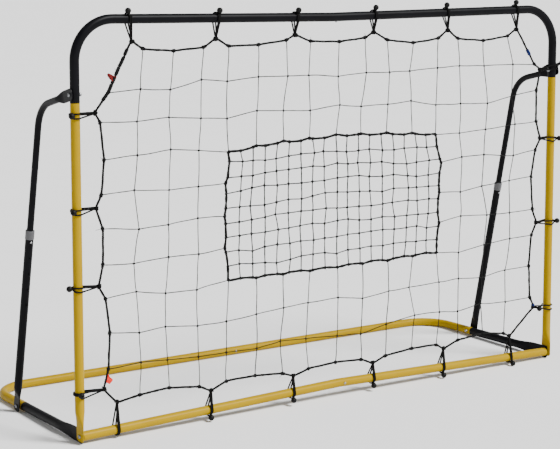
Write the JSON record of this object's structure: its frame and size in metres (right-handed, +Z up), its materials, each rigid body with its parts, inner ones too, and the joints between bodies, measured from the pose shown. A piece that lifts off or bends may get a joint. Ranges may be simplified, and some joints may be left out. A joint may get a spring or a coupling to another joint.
{
  "type": "pitch back rebounder",
  "caption": "Upright tubular frame with a sprung ball-return net and a fine-mesh target, hinged on a low base and held by telescoping push-button struts.",
  "frame": {"origin": "on the ground, in the middle of the footprint", "axes": "+X along the frame's width, +Y from the net towards the back of the base, +Z up"},
  "size_m": [1.8857, 0.6929, 1.2547],
  "materials": {
    "black_tube": "satin black powder coat",
    "yellow_tube": "satin yellow powder coat",
    "zinc": "zinc plated",
    "spring_steel": "bright",
    "grey_plastic": "matt dark grey",
    "black_plastic": "slight sheen",
    "net_twine": "black twine",
    "elastic_cord": "black braid",
    "red_cloth": "woven"
  },
  "bodies": {
    "base": {"side_rail_left": "black_tube", "side_rail_right": "black_tube", "rear_rail_left": "yellow_tube", "rear_rail_right": "yellow_tube", "pivot_washers": "zinc", "strut_foot_bolts": "zinc", "strut_foot_nuts": "zinc", "strut_foot_spacers": "grey_plastic"},
    "front_frame": {"post_left": "yellow_tube", "post_right": "yellow_tube", "top_rail_left": "black_tube", "top_rail_right": "black_tube", "bottom_rail_left": "yellow_tube", "bottom_rail_right": "yellow_tube", "rail_inserts": "zinc", "corner_bolts": "zinc", "strut_head_studs": "zinc", "strut_head_nuts": "zinc", "outer_net": "net_twine", "target_net": "net_twine", "border_rope": "net_twine", "target_rope": "net_twine", "top_ties": "elastic_cord", "bottom_ties": "elastic_cord", "left_ties": "elastic_cord", "right_ties": "elastic_cord", "top_tie_balls": "black_plastic", "bottom_tie_balls": "black_plastic", "left_tie_balls": "black_plastic", "right_tie_balls": "black_plastic", "net_flags": "red_cloth"},
    "strut_left_lower": {"strut_lower_left": "black_tube", "strut_collar_left": "grey_plastic"},
    "strut_left_upper": {"strut_upper_left": "black_tube", "strut_head_screw_left": "zinc"},
    "strut_left_clip": {"strut_snap_clip_left": "spring_steel"},
    "strut_right_lower": {"strut_lower_right": "black_tube", "strut_collar_right": "grey_plastic"},
    "strut_right_upper": {"strut_upper_right": "black_tube", "strut_head_screw_right": "zinc"},
    "strut_right_clip": {"strut_snap_clip_right": "spring_steel"},
    "top_clip": {"top_snap_clip": "spring_steel"},
    "bottom_clip": {"bottom_snap_clip": "spring_steel"},
    "rear_clip": {"rear_snap_clip": "spring_steel"}
  },
  "joints": [
    {"name": "frame_tilt", "type": "hinge", "parent": "base", "child": "front_frame", "pos_m": [0, -0.3125, 0.0219], "axis": [-1, 0, 0], "range_deg": [0, 28.71]},
    {"name": "strut_swing_left", "type": "hinge", "parent": "base", "child": "strut_left_lower", "pos_m": [-0.9218, 0.09547, 0.0169], "axis": [-1, 0, 0], "range_deg": [0, 29.01]},
    {"name": "strut_slide_left", "type": "slide", "parent": "strut_left_lower", "child": "strut_left_upper", "axis": [0, -0.2152, 0.9766], "range_m": [-0.2033, 0], "deforming": ["strut_snap_clip_left"]},
    {"name": "strut_button_left", "type": "slide", "parent": "strut_left_upper", "child": "strut_left_clip", "axis": [0, 0.9766, 0.2152], "range_m": [0, 0.0055], "stiffness_N_per_m": 1500, "springref_m": -0.002},
    {"name": "strut_swing_right", "type": "hinge", "parent": "base", "child": "strut_right_lower", "pos_m": [0.9218, 0.09547, 0.0169], "axis": [-1, 0, 0], "range_deg": [0, 29.01]},
    {"name": "strut_slide_right", "type": "slide", "parent": "strut_right_lower", "child": "strut_right_upper", "axis": [0, -0.2152, 0.9766], "range_m": [-0.2033, 0], "deforming": ["strut_snap_clip_right"]},
    {"name": "strut_button_right", "type": "slide", "parent": "strut_right_upper", "child": "strut_right_clip", "axis": [0, 0.9766, 0.2152], "range_m": [0, 0.0055], "stiffness_N_per_m": 1500, "springref_m": -0.002},
    {"name": "top_button", "type": "slide", "parent": "front_frame", "child": "top_clip", "axis": [0, 0, 1], "range_m": [0, 0.0044], "stiffness_N_per_m": 1500, "springref_m": -0.002},
    {"name": "bottom_button", "type": "slide", "parent": "front_frame", "child": "bottom_clip", "axis": [0, 1, 0], "range_m": [0, 0.0044], "stiffness_N_per_m": 1500, "springref_m": -0.002},
    {"name": "rear_button", "type": "slide", "parent": "base", "child": "rear_clip", "axis": [0, 0.9999, -0.0122], "range_m": [0, 0.0044], "stiffness_N_per_m": 1500, "springref_m": -0.002}
  ],
  "couplings": [
    {"joint": "strut_swing_left", "follows": "frame_tilt", "ratio": 1.0101},
    {"joint": "strut_slide_left", "follows": "frame_tilt", "m_per_rad": -0.40549},
    {"joint": "strut_swing_right", "follows": "frame_tilt", "ratio": 1.0101},
    {"joint": "strut_slide_right", "follows": "frame_tilt", "m_per_rad": -0.40549}
  ]
}
